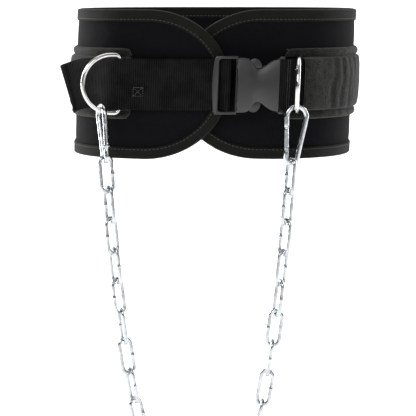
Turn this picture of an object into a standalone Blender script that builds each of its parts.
"""Weight belt with chain: a padded wrap-around belt, its webbing strap and the steel chain that hangs from it.

X runs to the wearer's left across the front, -Y points out of the front, and Z points up. The origin is the
centre of the waist opening, halfway up the belt. Lengths are in metres.
"""

import math

import bmesh
import bpy
import numpy as np
from mathutils import Matrix, Vector

# Waist and padded panel
BELT_WIDTH = 0.283
BELT_DEPTH = 0.204
BELT_HEIGHT = 0.146
SQUARENESS = 2.8
BELT_LEAN = 0.037
PANEL_WALL = 0.006
OVER_LOBE_REACH = 0.013
UNDER_LOBE_REACH = 0.036
LOBE_LENGTH = 0.080
TUCK_DEPTH = 0.0098
TUCK_START = 0.018
TUCK_END = 0.076
WAIST_STEPS = 50
LOBE_TIP_ANGLE = 6
LOBE_STEP_ANGLE = 12
PANEL_ROWS = 4

# Edge tape
BINDING_WIDTH = 0.0095
BINDING_WALL = 0.0011
BINDING_GAP = 0.0005

# Webbing strap and the sleeve that it runs through
STRAP_WIDTH = 0.0495
STRAP_WALL = 0.0018
STRAP_HEIGHT = 0.001
FIT_GAP = 0.0003
SLEEVE_START = 0.067
SLEEVE_MOUTH = 0.0835
SLEEVE_END = 0.081
SLEEVE_WALL = 0.0019
SLEEVE_SIDE_GAP = 0.0007
SLEEVE_ROOF_GAP = 0.0009
RIDGE_WIDTH = 0.0092
RIDGE_RISE = 0.0040
HUMP_CROWN = 0.0018
MOUTH_LENGTH = 0.036
FRONT_FLAT = 0.036
TAIL_LENGTH = 0.046
TAIL_SLANT = 0.017
TAIL_DROOP = 0.009
TAIL_LEAVES = 0.118
TAIL_HEM = 0.007
TAIL_HEM_WALL = 0.0034

# D-rings
RING_WIRE = 0.0046
RING_EYE = 0.0518
RING_DEPTH = 0.0355
RING_CORNER = 0.0043
RING_BAR_GAP = 0.0009
RIGHT_RING_PLACE = 0.0795
RIGHT_RING_SEAT = 0.0013
RIGHT_RING_SWING = 20
LEFT_RING_PLACE = 0.0895
LEFT_RING_SPLAY = 34

# Snap hooks
HOOK_LENGTH = 0.060
HOOK_WIRE = 0.005
HOOK_TOP_WIDTH = 0.0245
HOOK_BOTTOM_WIDTH = 0.0155
GATE_WIRE = 0.0046
GATE_NOSE_DROP = 0.0225
GATE_PIN_DROP = 0.0425
GATE_PIN_WIRE = 0.0018
GATE_PIN_REACH = 0.0006
TONGUE_WALL = 0.0018
TONGUE_LENGTH = 0.0030
HOOK_HANG_GAP = 0.0007
RIGHT_HOOK_REST = 0.0175
RIGHT_HOOK_TURN = 10
LEFT_HOOK_REST = 0.0168
LEFT_HOOK_TURN = 112
LEFT_HOOK_SWING = 8

# Chain
LINK_COUNT = 25
LINK_WIRE = 0.004
LINK_EYE_LENGTH = 0.0308
LINK_EYE_WIDTH = 0.008
LINK_GAP = 0.0005

# Side-release buckle
BUCKLE_LEFT = -0.0025
BUCKLE_SEAM = 0.0220
BUCKLE_SHOULDER = 0.0600
BUCKLE_EAR = 0.0040
BUCKLE_HEIGHT = 0.0560
BUCKLE_BACK = 0.0054
BUCKLE_THICKNESS = 0.0115
BUCKLE_WALL = 0.0021
BUCKLE_BAR = 0.0040
BUCKLE_RAIL = 0.0024
BUCKLE_FRAME_BAR = 0.0058
LADDER_BAR = 0.0032
LADDER_PLACE = 0.0122
SEWN_END = 0.0735

HALF_PANEL = PANEL_WALL / 2
STRAP_HALF = STRAP_WIDTH / 2
STRAP_PITCH = STRAP_WALL + FIT_GAP

# The strap's free end: along is a share of the tail's length, and wall its thickness there
HEM_START = 1 - TAIL_HEM / TAIL_LENGTH
TAIL_SECTIONS = (
    {"along": 0.3, "wall": STRAP_WALL},
    {"along": 0.6, "wall": STRAP_WALL},
    {"along": HEM_START, "wall": STRAP_WALL},
    {"along": HEM_START + 0.01, "wall": TAIL_HEM_WALL},
    {"along": 1.0, "wall": TAIL_HEM_WALL},
)
LOWER_EDGE_DROOP = 0.6

# Half of the sleeve's outer section, from the middle of the hump to the hem. Across is a share of the
# tunnel's half width in the hump and of the ridge's width past it, and rise is a share of that form's rise.
SLEEVE_SECTION = (
    {"form": "hump", "across": 0.62, "rise": 1.0},
    {"form": "hump", "across": 0.98, "rise": 0.78},
    {"form": "ridge", "across": 0.06, "rise": 0.50},
    {"form": "ridge", "across": 0.60, "rise": 1.0},
    {"form": "ridge", "across": 0.93, "rise": 0.76},
)


def smooth(share):
    share = min(max(share, 0.0), 1.0)
    return share * share * (3 - 2 * share)


def clear_scene():
    for old in list(bpy.data.objects):
        bpy.data.objects.remove(old, do_unlink=True)


def make_material(name, color, roughness, metallic=0.0):
    material = bpy.data.materials.new(name)
    material.use_nodes = True
    shader = material.node_tree.nodes["Principled BSDF"]
    shader.inputs["Base Color"].default_value = (*color, 1.0)
    shader.inputs["Roughness"].default_value = roughness
    shader.inputs["Metallic"].default_value = metallic
    return material


def make_object(name, mesh, material):
    mesh.materials.clear()
    mesh.materials.append(material)
    piece = bpy.data.objects.new(name, mesh)
    bpy.context.scene.collection.objects.link(piece)
    return piece


def loft(name, sections, closed=False):
    """A closed mesh through sections of equal point counts, with flat ends unless it closes on itself."""
    bm = bmesh.new()
    rings = [[bm.verts.new(point) for point in section] for section in sections]
    count = len(rings[0])
    pairs = list(zip(rings, rings[1:]))
    if closed:
        pairs.append((rings[-1], rings[0]))
    else:
        bm.faces.new(rings[0])
        bm.faces.new(reversed(rings[-1]))
    for near, far in pairs:
        for i in range(count):
            j = (i + 1) % count
            bm.faces.new((near[i], near[j], far[j], far[i]))
    bmesh.ops.recalc_face_normals(bm, faces=bm.faces)
    mesh = bpy.data.meshes.new(name)
    bm.to_mesh(mesh)
    bm.free()
    return mesh


def wire_sections(points, normal, radius, sides, closed):
    """Round sections across a flat route, whose plane has the given normal."""
    normal = normal.normalized()
    sections = []
    count = len(points)
    for i, point in enumerate(points):
        before = points[i - 1] if closed or i > 0 else point
        after = points[(i + 1) % count] if closed or i < count - 1 else point
        side = normal.cross((after - before).normalized())
        section = []
        for k in range(sides):
            angle = 2 * math.pi * (k + 0.5) / sides
            section.append(point + radius * (math.cos(angle) * side + math.sin(angle) * normal))
        sections.append(section)
    return sections


def cut(piece, cutter_mesh, operation="DIFFERENCE"):
    """Applies one exact Boolean with a mesh that is then thrown away."""
    cutter = bpy.data.objects.new("cutter", cutter_mesh)
    bpy.context.scene.collection.objects.link(cutter)
    modifier = piece.modifiers.new("cut", "BOOLEAN")
    modifier.operation = operation
    modifier.object = cutter
    bpy.context.view_layer.update()
    evaluated = piece.evaluated_get(bpy.context.evaluated_depsgraph_get())
    result = bpy.data.meshes.new_from_object(evaluated)
    piece.modifiers.remove(modifier)
    piece.data = result
    bpy.data.objects.remove(cutter, do_unlink=True)


def split_faces(piece):
    """Splits all faces into triangles where the piece was made, so that no turn can change them."""
    bm = bmesh.new()
    bm.from_mesh(piece.data)
    bmesh.ops.triangulate(bm, faces=bm.faces)
    bm.to_mesh(piece.data)
    bm.free()


def shade(piece, angle=35):
    piece.data.shade_smooth()
    piece.data.set_sharp_from_angle(angle=math.radians(angle))


# Waist line: a squarish oval, measured from the middle of the front towards +X
HALF_ACROSS = BELT_WIDTH / 2 - HALF_PANEL
HALF_DEEP = BELT_DEPTH / 2 - HALF_PANEL
WAIST_SAMPLES = 4000


def oval_point(turn):
    share_x = math.copysign(abs(math.cos(turn)) ** (2 / SQUARENESS), math.cos(turn))
    share_y = math.copysign(abs(math.sin(turn)) ** (2 / SQUARENESS), math.sin(turn))
    return HALF_ACROSS * share_x, HALF_DEEP * share_y


TURNS = np.linspace(-0.5, 1.5, WAIST_SAMPLES + 1) * math.pi
OVAL = np.array([oval_point(turn) for turn in TURNS])
OVAL_RUN = np.concatenate([[0.0], np.cumsum(np.hypot(*np.diff(OVAL, axis=0).T))])
GIRTH = float(OVAL_RUN[-1])
STEP = GIRTH / WAIST_STEPS


def plan(s, out):
    """The point a distance s round the waist line and a distance out from it, seen from above."""
    run = s % GIRTH
    x = float(np.interp(run, OVAL_RUN, OVAL[:, 0]))
    y = float(np.interp(run, OVAL_RUN, OVAL[:, 1]))
    normal = Vector((
        math.copysign(abs(x / HALF_ACROSS) ** (SQUARENESS - 1) / HALF_ACROSS, x),
        math.copysign(abs(y / HALF_DEEP) ** (SQUARENESS - 1) / HALF_DEEP, y),
    )).normalized()
    return Vector((x, y)) + out * normal


def front(x, out):
    """A point of the flat front, level with the waist line's foremost point."""
    return Vector((x, -HALF_DEEP - out))


def lift_up(point, z):
    """Gives a plan point its height, with the belt's sideways lean."""
    return Vector((point.x + BELT_LEAN * z, point.y, z))


def place(s, out, z):
    return lift_up(plan(s, out), z)


def stations(start, end):
    """Start, end and the shared steps of the waist line between them."""
    first = math.ceil(start / STEP + 0.3)
    last = math.floor(end / STEP - 0.3)
    return [start] + [STEP * i for i in range(first, last + 1)] + [end]


# Padded panel: it runs from the tip of the lobe underneath, round the back, to the tip of the lobe on top
UNDER_TIP = -UNDER_LOBE_REACH
OVER_TIP = GIRTH + OVER_LOBE_REACH
HALF_HEIGHT = BELT_HEIGHT / 2 - BINDING_GAP - BINDING_WALL


def tuck(u):
    """How far the lobe underneath lies inside the waist line."""
    return TUCK_DEPTH * (1 - smooth((u - TUCK_START) / (TUCK_END - TUCK_START)))


def lobe_angles():
    return [math.radians(a) for a in range(LOBE_TIP_ANGLE, 90, LOBE_STEP_ANGLE)]


def half_height(u):
    from_tip = min(u - UNDER_TIP, OVER_TIP - u)
    if from_tip >= LOBE_LENGTH:
        return HALF_HEIGHT
    return HALF_HEIGHT * math.sqrt(1 - (1 - from_tip / LOBE_LENGTH) ** 2)


def make_panel(material):
    tips = [LOBE_LENGTH * (1 - math.cos(a)) for a in lobe_angles()]
    us = [UNDER_TIP + d for d in tips]
    us += stations(UNDER_TIP + LOBE_LENGTH, OVER_TIP - LOBE_LENGTH)
    us += [OVER_TIP - d for d in reversed(tips)]
    sections = []
    for u in us:
        heights = [half_height(u) * (1 - 2 * i / PANEL_ROWS) for i in range(PANEL_ROWS + 1)]
        outside = [place(u, HALF_PANEL - tuck(u), z) for z in heights]
        inside = [place(u, -HALF_PANEL - tuck(u), z) for z in reversed(heights)]
        sections.append(outside + inside)
    piece = make_object("belt_panel", loft("belt_panel", sections), material)
    shade(piece)
    return piece


def panel_outline():
    """Points of the panel's edge as run, height and inward direction, once round."""
    top = stations(UNDER_TIP + LOBE_LENGTH, OVER_TIP - LOBE_LENGTH)
    angles = lobe_angles()
    turns = [-a for a in reversed(angles)] + angles

    def lobe(tip, way):
        points = []
        for turn in turns:
            u = tip - way * LOBE_LENGTH * (1 - math.cos(turn))
            inward = Vector((-way * math.cos(turn) / LOBE_LENGTH, -math.sin(turn) / HALF_HEIGHT))
            points.append((u, HALF_HEIGHT * math.sin(turn), inward.normalized()))
        return points

    outline = [(u, HALF_HEIGHT, Vector((0, -1))) for u in top]
    outline += reversed(lobe(OVER_TIP, 1))
    outline += [(u, -HALF_HEIGHT, Vector((0, 1))) for u in reversed(top)]
    outline += lobe(UNDER_TIP, -1)
    return outline


def make_binding(material):
    inner = HALF_PANEL + BINDING_GAP
    outer = inner + BINDING_WALL
    shape = (
        (BINDING_WIDTH, outer),
        (-BINDING_GAP - BINDING_WALL, outer),
        (-BINDING_GAP - BINDING_WALL, -outer),
        (BINDING_WIDTH, -outer),
        (BINDING_WIDTH, -inner),
        (-BINDING_GAP, -inner),
        (-BINDING_GAP, inner),
        (BINDING_WIDTH, inner),
    )
    sections = []
    for u, z, inward in panel_outline():
        section = []
        for reach, out in shape:
            run = u + reach * inward.x
            section.append(place(run, out - tuck(run), z + reach * inward.y))
        sections.append(section)
    piece = make_object("edge_binding", loft("edge_binding", sections, closed=True), material)
    shade(piece)
    return piece


# Levels of the strap, measured out from the waist line
STRAP_FLOOR_GAP = 0.0006
STRAP_IN_SLEEVE = HALF_PANEL + STRAP_FLOOR_GAP + STRAP_WALL / 2
STRAP_IN_FRONT = HALF_PANEL + BINDING_GAP + BINDING_WALL + STRAP_FLOOR_GAP + STRAP_WALL / 2
TUNNEL_HALF = STRAP_HALF + SLEEVE_SIDE_GAP
TUNNEL_RISE = STRAP_FLOOR_GAP + STRAP_WALL + SLEEVE_ROOF_GAP
HUMP_RISE = TUNNEL_RISE + SLEEVE_WALL + HUMP_CROWN
RIGHT_BAR_OUT = HALF_PANEL + FIT_GAP + RING_WIRE / 2 + RIGHT_RING_SEAT
LEFT_BAR_OUT = HALF_PANEL + HUMP_RISE + FIT_GAP + RING_WIRE / 2
OVER_BAR = RING_WIRE / 2 + RING_BAR_GAP + STRAP_WALL / 2
ON_SLEEVE = HALF_PANEL + HUMP_RISE + FIT_GAP + STRAP_WALL / 2
BAR_CLEARANCE = STRAP_WALL / 2 + FIT_GAP
LEFT_CLIMB = LEFT_BAR_OUT + OVER_BAR - ON_SLEEVE - FIT_GAP
TAIL_STEPS = 4


def mouth_lift(s):
    """How far the right D-ring's bar lifts the strap, and the mouth of the sleeve with it."""
    full = RIGHT_BAR_OUT + OVER_BAR - STRAP_IN_SLEEVE
    return full * (1 - smooth((s - RIGHT_RING_PLACE) / MOUTH_LENGTH))


def sleeve_section(s):
    lift = mouth_lift(s)
    base = HALF_PANEL - tuck(s)
    upper = [(TUNNEL_HALF + RIDGE_WIDTH, FIT_GAP)]
    for row in reversed(SLEEVE_SECTION):
        if row["form"] == "ridge":
            upper.append((TUNNEL_HALF + row["across"] * RIDGE_WIDTH, row["rise"] * RIDGE_RISE))
        else:
            upper.append((row["across"] * (TUNNEL_HALF + SLEEVE_SIDE_GAP), row["rise"] * HUMP_RISE + lift))
    roof = [
        (TUNNEL_HALF, FIT_GAP),
        (TUNNEL_HALF - FIT_GAP, TUNNEL_RISE + lift),
        (SLEEVE_SECTION[0]["across"] * TUNNEL_HALF, HUMP_RISE - SLEEVE_WALL + lift),
    ]
    shape = upper + [(-z, rise) for z, rise in reversed(upper)]
    shape += [(-z, rise) for z, rise in roof] + list(reversed(roof))
    return [place(s, base + rise, STRAP_HEIGHT + z) for z, rise in shape]


def make_sleeve(material):
    runs = stations(SLEEVE_START, GIRTH - SLEEVE_END)
    runs = sorted(runs + [SLEEVE_MOUTH])
    piece = make_object("strap_sleeve", loft("strap_sleeve", [sleeve_section(s) for s in runs]), material)
    valley = SLEEVE_SECTION[2]["across"] * RIDGE_WIDTH
    half = TUNNEL_HALF + valley + FIT_GAP / 2
    window = []
    for s in (SLEEVE_START - STEP / 4, SLEEVE_MOUTH):
        corners = ((HALF_PANEL - RIDGE_RISE, -half), (HALF_PANEL - RIDGE_RISE, half),
                   (HALF_PANEL + 4 * HUMP_RISE, half), (HALF_PANEL + 4 * HUMP_RISE, -half))
        window.append([place(s, out, STRAP_HEIGHT + z) for out, z in corners])
    cut(piece, loft("window", window))
    shade(piece, 50)
    return piece


# Buckle levels, measured out from the flat front
LADDER_TURN = LADDER_BAR / 2 + BAR_CLEARANCE
LADDER_OUT = STRAP_IN_FRONT + LADDER_TURN
REAR_TURN = BUCKLE_BAR / 2 + BAR_CLEARANCE
REAR_PLACE = BUCKLE_SHOULDER + REAR_TURN + STRAP_WALL / 2 + FIT_GAP
REAR_OUT = BUCKLE_BACK + BUCKLE_THICKNESS / 2
TURN_STEPS = 8


def turn_points(x, out, radius, first, last):
    """Strap points round a bar, from one angle to another; 0 points to +X and 90 points out."""
    points = []
    for i in range(TURN_STEPS + 1):
        angle = math.radians(first + (last - first) * i / TURN_STEPS)
        points.append(front(x + radius * math.cos(angle), out + radius * math.sin(angle)))
    return points


def ease(start, end, steps):
    """Points between two plan points that leave and arrive along the belt."""
    points = []
    for i in range(1, steps):
        share = i / steps
        points.append(Vector((
            start.x + (end.x - start.x) * share,
            start.y + (end.y - start.y) * smooth(share),
        )))
    return points


def inner_level(s):
    """The strap's lower layer between the left end of the sleeve and the buckle."""
    share = smooth((s - GIRTH + SLEEVE_END) / (SLEEVE_END - FRONT_FLAT))
    return STRAP_IN_SLEEVE + (STRAP_IN_FRONT - STRAP_IN_SLEEVE) * share


def outer_level(s):
    """The folded-back layer, which climbs onto the sleeve where the lower layer goes into it."""
    share = smooth((GIRTH - s - FRONT_FLAT) / (SLEEVE_END - STRAP_WALL - FRONT_FLAT))
    flat = inner_level(s) + STRAP_PITCH
    return flat + (ON_SLEEVE + STRAP_WALL / 2 - flat) * share


def strap_route():
    """The strap's middle line from its sewn end at the buckle round the waist and back to its free end."""
    over_ring = plan(RIGHT_RING_PLACE, RIGHT_BAR_OUT + OVER_BAR)
    loop_top = front(REAR_PLACE, REAR_OUT + REAR_TURN)
    loop_back = front(REAR_PLACE, REAR_OUT - REAR_TURN)
    share = (SEWN_END - REAR_PLACE) / (over_ring.x - REAR_PLACE)
    sewn_y = loop_top.y + (over_ring.y - loop_top.y) * smooth(share) + STRAP_PITCH * 1.25
    sewn = Vector((SEWN_END, sewn_y))
    route = [sewn] + ease(sewn, loop_back, 4)
    route += turn_points(REAR_PLACE, REAR_OUT, REAR_TURN, 270, 90)
    route += ease(loop_top, over_ring, 5) + [over_ring]
    mouth = GIRTH - SLEEVE_END
    for s in [SLEEVE_MOUTH] + [s for s in stations(SLEEVE_START, mouth) if s > SLEEVE_MOUTH + FIT_GAP]:
        route.append(plan(s, STRAP_IN_SLEEVE - tuck(s) + mouth_lift(s)))
    bare = stations(mouth, GIRTH - FRONT_FLAT)[1:]
    route += [plan(s, inner_level(s)) for s in bare]
    route += turn_points(LADDER_PLACE, LADDER_OUT, LADDER_TURN, -90, 90)
    under_frame = front(BUCKLE_LEFT + BUCKLE_FRAME_BAR, STRAP_IN_FRONT + STRAP_PITCH)
    route += ease(route[-1], under_frame, 5) + [under_frame]
    route += [plan(s, outer_level(s)) for s in reversed([mouth] + bare)]
    over_left = plan(GIRTH - LEFT_RING_PLACE, LEFT_BAR_OUT + OVER_BAR)
    route += ease(route[-1], over_left, 3) + [over_left]
    for i in range(1, TAIL_STEPS + 1):
        share = i / TAIL_STEPS
        run = GIRTH - LEFT_RING_PLACE - (TAIL_LEAVES - LEFT_RING_PLACE) * share
        route.append(plan(run, LEFT_BAR_OUT + OVER_BAR - LEFT_CLIMB * smooth(share)))
    return route


def ribbon_section(upper, lower, normal, half_wall, low, high):
    """The strap's section, from plan points under its upper and its lower edge."""
    return [
        lift_up(upper + half_wall * normal, high),
        lift_up(lower + half_wall * normal, low),
        lift_up(lower - half_wall * normal, low),
        lift_up(upper - half_wall * normal, high),
    ]


def make_strap(material):
    route = strap_route()
    sections = []
    for i, point in enumerate(route):
        before = route[max(i - 1, 0)]
        after = route[min(i + 1, len(route) - 1)]
        along = (after - before).normalized()
        normal = Vector((along.y, -along.x))
        sections.append(ribbon_section(point, point, normal, STRAP_WALL / 2, STRAP_HEIGHT - STRAP_HALF,
                                       STRAP_HEIGHT + STRAP_HALF))
    start = route[-1]
    along = (plan(GIRTH - TAIL_LEAVES - STEP / 4, 0) - plan(GIRTH - TAIL_LEAVES + STEP / 4, 0)).normalized()
    normal = Vector((along.y, -along.x))
    for row in TAIL_SECTIONS:
        upper = start + along * TAIL_LENGTH * row["along"]
        lower = start + along * (TAIL_LENGTH - TAIL_SLANT) * row["along"]
        drop = TAIL_DROOP * row["along"] ** 2
        sections.append(ribbon_section(upper, lower, normal, row["wall"] / 2,
                                       STRAP_HEIGHT - STRAP_HALF - drop * LOWER_EDGE_DROOP,
                                       STRAP_HEIGHT + STRAP_HALF - drop))
    piece = make_object("strap", loft("strap", sections), material)
    shade(piece)
    return piece


# D-rings: a straight bar, two tight corners and a round bow
RING_HALF = (RING_EYE + RING_WIRE) / 2
RING_BOW_CENTRE = RING_DEPTH - RING_HALF
RING_UP = Vector((BELT_LEAN, 0, 1)).normalized()
CORNER_STEPS = 3
BOW_STEPS = 14


def ring_route():
    """The ring's wire in its own plane, as depth from the bar and height."""
    corner = Vector((RING_CORNER, RING_HALF - RING_CORNER))
    points = []
    for i in range(CORNER_STEPS + 1):
        angle = math.radians(180 - 90 * i / CORNER_STEPS)
        points.append(corner + RING_CORNER * Vector((math.cos(angle), math.sin(angle))))
    for i in range(BOW_STEPS // 2 + 1):
        angle = math.radians(90 - 180 * i / BOW_STEPS)
        points.append(Vector((RING_BOW_CENTRE + RING_HALF * math.cos(angle), RING_HALF * math.sin(angle))))
    return points + [Vector((p.x, -p.y)) for p in reversed(points[:-1])]


def make_ring(name, bar, depth_way, hook_rest, material):
    """One ring, and the point of its wire where the hook hangs, a given depth out from the bar."""
    depth_way = (depth_way - depth_way.dot(RING_UP) * RING_UP).normalized()
    points = [bar + p.x * depth_way + p.y * RING_UP for p in ring_route()]
    mesh = loft(name, wire_sections(points, depth_way.cross(RING_UP), RING_WIRE / 2, 8, True), closed=True)
    piece = make_object(name, mesh, material)
    shade(piece, 60)
    drop = math.sqrt(RING_HALF ** 2 - (hook_rest - RING_BOW_CENTRE) ** 2)
    return bar + hook_rest * depth_way - drop * RING_UP


def make_rings(material):
    """Both rings, each with the point of its wire where the strap's edge lets the snap hook hang."""
    height = STRAP_HEIGHT
    bar = place(RIGHT_RING_PLACE, RIGHT_BAR_OUT, height)
    outward = (plan(RIGHT_RING_PLACE, 1) - plan(RIGHT_RING_PLACE, 0)).to_3d()
    swing = math.radians(RIGHT_RING_SWING)
    swung = math.cos(swing) * outward + math.sin(swing) * Vector((outward.y, -outward.x, 0))
    right_low = make_ring("d_ring_right", bar, swung, RIGHT_HOOK_REST, material)
    run = GIRTH - LEFT_RING_PLACE
    outward = (plan(run, 1) - plan(run, 0)).to_3d()
    splay = math.radians(LEFT_RING_SPLAY)
    away = math.cos(splay) * Vector((outward.y, -outward.x, 0)) + math.sin(splay) * outward
    bar = place(run, LEFT_BAR_OUT, height)
    left_low = make_ring("d_ring_left", bar, away, LEFT_HOOK_REST, material)
    return left_low, right_low


# Snap hooks: the wire lies in the hook's own plane, with the middle of its wide end as the local origin
HOOK_TOP = (HOOK_TOP_WIDTH - HOOK_WIRE) / 2
HOOK_BOTTOM = (HOOK_BOTTOM_WIDTH - HOOK_WIRE) / 2
HOOK_FOOT = Vector((HOOK_BOTTOM - HOOK_TOP, 0, -(HOOK_LENGTH - HOOK_TOP - HOOK_BOTTOM - HOOK_WIRE)))
NOSE_Z = HOOK_TOP + HOOK_WIRE / 2 - GATE_NOSE_DROP
PIN_Z = HOOK_TOP + HOOK_WIRE / 2 - GATE_PIN_DROP
KNUCKLE = GATE_WIRE / 2
HOOK_SIDES = 8
ARC_STEP = 22.5
GATE_FOOT_TURNS = (math.radians(35), math.radians(65))


def arc_xz(centre, radius, first, last):
    steps = max(2, round(abs(last - first) / ARC_STEP))
    points = []
    for i in range(steps + 1):
        angle = math.radians(first + (last - first) * i / steps)
        points.append(centre + radius * Vector((math.cos(angle), 0, math.sin(angle))))
    return points


def hook_route():
    """The bent wire from the gate's hinge round the narrow end, up the slanted leg and over to the nose."""
    span = Vector((HOOK_FOOT.x, HOOK_FOOT.z))
    along = span.normalized()
    gate_side = Vector((-1, 0))
    slant = 2 * along.dot(gate_side) * along - gate_side
    slant_angle = math.degrees(math.atan2(slant.y, slant.x))
    hinge = Vector((-HOOK_TOP, 0, PIN_Z - KNUCKLE - FIT_GAP))
    nose = Vector((-HOOK_TOP, 0, NOSE_Z + FIT_GAP))
    route = [hinge]
    route += arc_xz(HOOK_FOOT, HOOK_BOTTOM, -180, slant_angle)
    route += arc_xz(Vector((0, 0, 0)), HOOK_TOP, slant_angle, 180)
    return route + [nose]


def tongue(x, low, high, half_width, half_wall, round_end):
    """A flat tongue in the hook's plane, with a round end where its pin goes."""
    outline = [Vector((x - half_width, 0, low)), Vector((x + half_width, 0, low))]
    if round_end:
        outline += arc_xz(Vector((x, 0, high)), half_width, 0, 180)
    else:
        outline += [Vector((x + half_width, 0, high)), Vector((x - half_width, 0, high))]
    return loft("tongue", [[p + Vector((0, way * half_wall, 0)) for p in outline] for way in (-1, 1)])


def rod(start, end, radius, sides):
    along = end - start
    turn = along.to_track_quat("Z", "Y").to_matrix()
    sections = []
    for point in (start, end):
        ring = []
        for k in range(sides):
            angle = 2 * math.pi * (k + 0.5) / sides
            ring.append(point + turn @ Vector((radius * math.cos(angle), radius * math.sin(angle), 0)))
        sections.append(ring)
    return loft("rod", sections)


def make_hook(name, frame, material):
    route = hook_route()
    piece = make_object(name, loft(name, wire_sections(route, Vector((0, 1, 0)), HOOK_WIRE / 2,
                                                       HOOK_SIDES, False)), material)
    half_wall = TONGUE_WALL / 2
    half_width = KNUCKLE - FIT_GAP
    cut(piece, tongue(-HOOK_TOP, PIN_Z - HOOK_WIRE, PIN_Z, half_width, half_wall, True), "UNION")
    cut(piece, tongue(-HOOK_TOP, NOSE_Z - TONGUE_LENGTH, NOSE_Z + HOOK_WIRE / 2, half_width * 0.7,
                      half_wall, False), "UNION")
    reach = Vector((0, HOOK_WIRE, 0))
    pin = Vector((-HOOK_TOP, 0, PIN_Z))
    cut(piece, rod(pin - reach, pin + reach, GATE_PIN_WIRE / 2 + FIT_GAP, 10))
    split_faces(piece)
    piece.matrix_world = frame
    shade(piece, 50)
    return piece


def make_gate(name, frame, material):
    """The sprung gate, forked at both ends, with its hinge pin; its origin is on the pin."""
    top = Vector((0, 0, NOSE_Z - PIN_Z))
    level = Vector((0, 1, 0))
    sections = wire_sections([Vector((0, 0, 0)), top], level, KNUCKLE, HOOK_SIDES, False)
    for turn in GATE_FOOT_TURNS:
        foot = Vector((0, 0, -KNUCKLE * math.sin(turn)))
        sections.insert(0, wire_sections([foot, top], level, KNUCKLE * math.cos(turn), HOOK_SIDES, False)[0])
    piece = make_object(name, loft(name, sections), material)
    half_slot = TONGUE_WALL / 2 + FIT_GAP
    slots = ((-2 * KNUCKLE, KNUCKLE + FIT_GAP), (top.z - TONGUE_LENGTH - FIT_GAP, top.z + KNUCKLE))
    for low_z, high_z in slots:
        corners = ((-KNUCKLE * 2, low_z), (KNUCKLE * 2, low_z), (KNUCKLE * 2, high_z), (-KNUCKLE * 2, high_z))
        slot = [[Vector((x, way * half_slot, z)) for x, z in corners] for way in (-1, 1)]
        cut(piece, loft("slot", slot))
    reach = Vector((0, HOOK_WIRE / 2 + GATE_PIN_REACH, 0))
    cut(piece, rod(-reach, reach, GATE_PIN_WIRE / 2, 8), "UNION")
    split_faces(piece)
    piece.matrix_world = frame @ Matrix.Translation((-HOOK_TOP, 0, PIN_Z))
    shade(piece, 50)
    return piece


def hook_frame(ring_low, turn, swing):
    """Places a hook so that its wide end hangs on the ring's wire."""
    turn, swing = math.radians(turn), math.radians(swing)
    level = Vector((math.cos(turn), math.sin(turn), 0))
    up = math.cos(swing) * Vector((0, 0, 1)) + math.sin(swing) * level
    across = math.cos(swing) * level - math.sin(swing) * Vector((0, 0, 1))
    normal = up.cross(across)
    hang = HOOK_TOP - HOOK_WIRE / 2 - RING_WIRE / 2 - HOOK_HANG_GAP
    frame = Matrix((across, normal, up)).transposed().to_4x4()
    return Matrix.Translation(ring_low - hang * up) @ frame


def make_hooks(ring_lows, material):
    """Both hooks and gates, with the centre of each narrow end for the chain."""
    feet = []
    for side, low, turn, swing in (("left", ring_lows[0], LEFT_HOOK_TURN, LEFT_HOOK_SWING),
                                   ("right", ring_lows[1], RIGHT_HOOK_TURN, 0)):
        frame = hook_frame(low, turn, swing)
        make_hook("carabiner_" + side, frame, material)
        make_gate("gate_" + side, frame, material)
        feet.append(frame @ HOOK_FOOT)
    return feet


# Chain: twist of each link from face-on, in degrees, from the left hook to the right one
LINK_TWISTS = (22, -50, 45, -47, 48, -65, 25, -55, 38, -45, 70, 0, 90,
               0, 80, -5, 90, 8, 90, 0, 64, -50, 50, -48, 58)
LINK_TOUCH = (LINK_WIRE + LINK_GAP) / 2
LINK_BOW = (LINK_EYE_WIDTH + LINK_WIRE) / 2
LINK_LEG = (LINK_EYE_LENGTH + LINK_WIRE) / 2 - LINK_BOW
LINK_BOW_STEPS = 6
LINK_SIDES = 6
SOLVER_ROUNDS = 44


def link_twist(i):
    return math.radians(LINK_TWISTS[i] if i < len(LINK_TWISTS) else 90 * (i % 2))


def half_span(along, pull, twist):
    """From a link's middle to where it touches the next one, which slides round a bow seen face-on."""
    face_on = LINK_LEG * along + (LINK_BOW - LINK_TOUCH) * pull
    edge_on = (LINK_LEG + LINK_BOW) * along - LINK_TOUCH * pull
    share = math.cos(twist) ** 2
    return share * face_on + (1 - share) * edge_on


def chain_shape(middle, weight):
    """Links' directions and half spans in the chain's upright plane; each slope follows the hanging weight."""
    slopes = [math.atan((i - middle) * weight) for i in range(LINK_COUNT)]
    ways = [Vector((math.cos(a), math.sin(a))) for a in slopes]
    pulls = [ways[0]] + [(a + b).normalized() for a, b in zip(ways, ways[1:])] + [ways[-1]]
    halves = []
    for i, way in enumerate(ways):
        twist = link_twist(i)
        halves.append((half_span(way, pulls[i], twist), half_span(way, pulls[i + 1], twist)))
    total = Vector((0, 0))
    for first, second in halves:
        total += first + second
    return ways, halves, total


def solve(reaches, target, low, high):
    """The value between low and high at which a rising measure reaches its target."""
    for _ in range(SOLVER_ROUNDS):
        value = (low + high) / 2
        if reaches(value) > target:
            high = value
        else:
            low = value
    return (low + high) / 2


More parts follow.
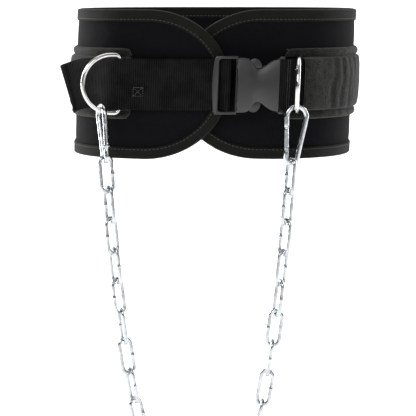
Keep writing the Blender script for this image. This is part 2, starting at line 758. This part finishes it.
def chain_links(start, end):
    """Middle and direction of every link of a chain that hangs between two points."""
    level = Vector((end.x - start.x, end.y - start.y, 0))
    span, rise = level.length, end.z - start.z
    level.normalize()

    def middle_for(weight):
        return solve(lambda value: -chain_shape(value, weight)[2].y, -rise, 0.0, float(LINK_COUNT))

    weight = solve(lambda value: -chain_shape(middle_for(value), value)[2].x, -span, 0.05, 20.0)
    ways, halves, _ = chain_shape(middle_for(weight), weight)
    upright = Vector((0, 0, 1))
    at = Vector((0, 0))
    links = []
    for way, (first, second) in zip(ways, halves):
        centre = at + first
        links.append((start + centre.x * level + centre.y * upright, way.x * level + way.y * upright))
        at = centre + second
    return links, level


def link_mesh():
    """One welded link along Z, with its eye in the XZ plane."""
    points = []
    for way in (1, -1):
        for i in range(LINK_BOW_STEPS + 1):
            angle = math.radians(180 * i / LINK_BOW_STEPS)
            points.append(Vector((way * LINK_BOW * math.cos(angle), 0,
                                  way * (LINK_LEG + LINK_BOW * math.sin(angle)))))
    return loft("link", wire_sections(points, Vector((0, 1, 0)), LINK_WIRE / 2, LINK_SIDES, True), closed=True)


def make_chain(feet, material):
    seat = Vector((0, 0, HOOK_WIRE / 2 - HOOK_BOTTOM + LINK_GAP / 2))
    links, level = chain_links(feet[0] + seat, feet[1] + seat)
    across = Vector((-level.y, level.x, 0))
    for i, (centre, along) in enumerate(links):
        twist = link_twist(i)
        width = math.cos(twist) * along.cross(across) + math.sin(twist) * across
        piece = make_object("link_%02d" % (i + 1), link_mesh(), material)
        turn = Matrix((width, along.cross(width), along)).transposed().to_4x4()
        piece.matrix_world = Matrix.Translation(centre) @ turn
        shade(piece, 70)


# Buckle
BUCKLE_DROP = -0.0005
BUCKLE_HALF = BUCKLE_HEIGHT / 2
CAVITY_HALF = STRAP_HALF - FIT_GAP
ARM_WALL = 0.0030
ARM_THICKNESS = 0.0052
ARM_LENGTH = 0.0230
BASE_WALL = 0.0014
EDGE_ROUND = 0.0013

# Outline of the buckle's socket half: along is a share of its length, rise a share of its half height
SOCKET_OUTLINE = (
    {"along": 0.0, "rise": 0.955},
    {"along": 0.26, "rise": 0.90},
    {"along": 0.34, "rise": 0.72},
    {"along": 0.43, "rise": 0.60},
    {"along": 0.54, "rise": 0.64},
    {"along": 0.68, "rise": 0.80},
    {"along": 0.84, "rise": 0.92},
)

# Outline of one latch arm: along is a share of its length, rise a share of the cavity's half height
ARM_OUTLINE = (
    {"along": 0.0, "rise": 0.82},
    {"along": 0.50, "rise": 0.84},
    {"along": 0.56, "rise": 0.97},
    {"along": 0.78, "rise": 0.97},
    {"along": 1.0, "rise": 0.80},
)


def buckle_point(x, out, z):
    return lift_up(front(x, out), STRAP_HEIGHT + BUCKLE_DROP + z)


def block(low, high):
    """A block between two corners given as x, out and height."""
    corners = ((low[1], low[2]), (low[1], high[2]), (high[1], high[2]), (high[1], low[2]))
    sections = []
    for x in (low[0], high[0]):
        sections.append([buckle_point(x, out, z) for out, z in corners])
    return loft("block", sections)


def prism(outline, low, high):
    return loft("prism", [[buckle_point(x, out, z) for x, z in outline] for out in (low, high)])


def make_female(material):
    """The socket half: a waisted shell open towards the seam, with the strap's bar between two ears."""
    length = REAR_PLACE + BUCKLE_EAR / 2 - BUCKLE_SEAM
    back, face = BUCKLE_BACK, BUCKLE_BACK + BUCKLE_THICKNESS
    rows = [(BUCKLE_SEAM + row["along"] * length, row["rise"] * BUCKLE_HALF) for row in SOCKET_OUTLINE]
    sections = []
    for x, half in rows + [(BUCKLE_SHOULDER - FIT_GAP, BUCKLE_HALF * 0.94)]:
        shape = []
        for way in (1, -1):
            corners = [(back, half - EDGE_ROUND), (back + EDGE_ROUND, half), (face - EDGE_ROUND * 1.6, half),
                       (face - EDGE_ROUND * 0.5, half - EDGE_ROUND * 0.5), (face, half - EDGE_ROUND * 1.6)]
            shape += [(out, way * z) for out, z in (corners if way > 0 else reversed(corners))]
        sections.append([buckle_point(x, out, z) for out, z in shape])
    piece = make_object("buckle_female", loft("buckle_female", sections), material)
    cavity = block((BUCKLE_SEAM - BASE_WALL, back + BUCKLE_WALL, -CAVITY_HALF),
                   (BUCKLE_SEAM + ARM_LENGTH + BUCKLE_RAIL, face - BUCKLE_WALL, CAVITY_HALF))
    cut(piece, cavity)
    ear_half = BUCKLE_BAR / 2 + FIT_GAP
    for way in (1, -1):
        inner, outer = STRAP_HALF + 2 * FIT_GAP, BUCKLE_HALF
        low, high = sorted((way * inner, way * outer))
        ear = block((BUCKLE_SHOULDER - 2 * ARM_WALL, REAR_OUT - ear_half * 1.4, low),
                    (REAR_PLACE + ear_half, REAR_OUT + ear_half * 1.4, high))
        cut(piece, ear, "UNION")
    reach = STRAP_HALF + 4 * FIT_GAP
    bar = rod(buckle_point(REAR_PLACE, REAR_OUT, -reach), buckle_point(REAR_PLACE, REAR_OUT, reach),
              BUCKLE_BAR / 2, 10)
    cut(piece, bar, "UNION")
    shade(piece)
    return piece


def make_male(material):
    """The latch half: an open frame with a ladder bar for the strap, and two latch arms in the socket."""
    inner = STRAP_HALF + SLEEVE_SIDE_GAP + abs(BUCKLE_DROP) / 2
    outer = inner + BUCKLE_RAIL
    face = BUCKLE_BACK + BUCKLE_THICKNESS * 0.68
    low_bar = STRAP_IN_FRONT + STRAP_PITCH + STRAP_WALL / 2 + FIT_GAP
    seam = BUCKLE_SEAM - FIT_GAP
    bow = BUCKLE_FRAME_BAR * 0.6
    edge = [(BUCKLE_LEFT + bow * (1 - math.cos(a)), outer * math.sin(a))
            for a in (math.radians(t) for t in (-86, -60, -30, 0, 30, 60, 86))]
    outline = edge + [(BUCKLE_LEFT + 1.6 * bow, outer), (seam, outer), (seam, -outer),
                      (BUCKLE_LEFT + 1.6 * bow, -outer)]
    piece = make_object("buckle_male", prism(outline, BUCKLE_BACK, face), material)
    bar_edge = BUCKLE_LEFT + BUCKLE_FRAME_BAR
    cut(piece, block((bar_edge, BUCKLE_BACK - BUCKLE_BAR, -inner),
                     (seam - BASE_WALL, face + BUCKLE_BAR, inner)))
    cut(piece, block((BUCKLE_LEFT - BUCKLE_BAR, BUCKLE_BACK - BUCKLE_BAR, -inner + FIT_GAP / 3),
                     (bar_edge + BUCKLE_BAR, low_bar, inner - FIT_GAP / 3)))
    reach = inner + BUCKLE_RAIL / 2
    ladder = rod(buckle_point(LADDER_PLACE, LADDER_OUT, -reach), buckle_point(LADDER_PLACE, LADDER_OUT, reach),
                 LADDER_BAR / 2, 10)
    cut(piece, ladder, "UNION")
    middle = BUCKLE_BACK + BUCKLE_THICKNESS / 2
    root = seam - BASE_WALL / 2
    for way in (1, -1):
        rises = [(seam + row["along"] * ARM_LENGTH, row["rise"] * CAVITY_HALF) for row in ARM_OUTLINE]
        arm = [(root, rises[0][1])] + rises
        arm += [(rises[-1][0], rises[-1][1] - ARM_WALL), (root, rises[0][1] - ARM_WALL)]
        cut(piece, prism([(x, way * z) for x, z in arm], middle - ARM_THICKNESS / 2,
                         middle + ARM_THICKNESS / 2), "UNION")
    shade(piece)
    return piece


def main():
    clear_scene()
    neoprene = make_material("neoprene", (0.012, 0.012, 0.014), 0.85)
    tape = make_material("edge_tape", (0.035, 0.035, 0.030), 0.75)
    cloth = make_material("sleeve_cloth", (0.040, 0.039, 0.034), 0.95)
    webbing = make_material("webbing", (0.014, 0.014, 0.014), 0.65)
    steel = make_material("ring_steel", (0.82, 0.82, 0.80), 0.16, 1.0)
    hook_steel = make_material("hook_steel", (0.80, 0.82, 0.82), 0.18, 1.0)
    chain_steel = make_material("chain_steel", (0.80, 0.84, 0.86), 0.15, 1.0)
    plastic = make_material("buckle_plastic", (0.045, 0.045, 0.048), 0.42)
    make_panel(neoprene)
    make_binding(tape)
    make_sleeve(cloth)
    make_strap(webbing)
    ring_lows = make_rings(steel)
    feet = make_hooks(ring_lows, hook_steel)
    make_chain(feet, chain_steel)
    make_female(plastic)
    make_male(plastic)


main()
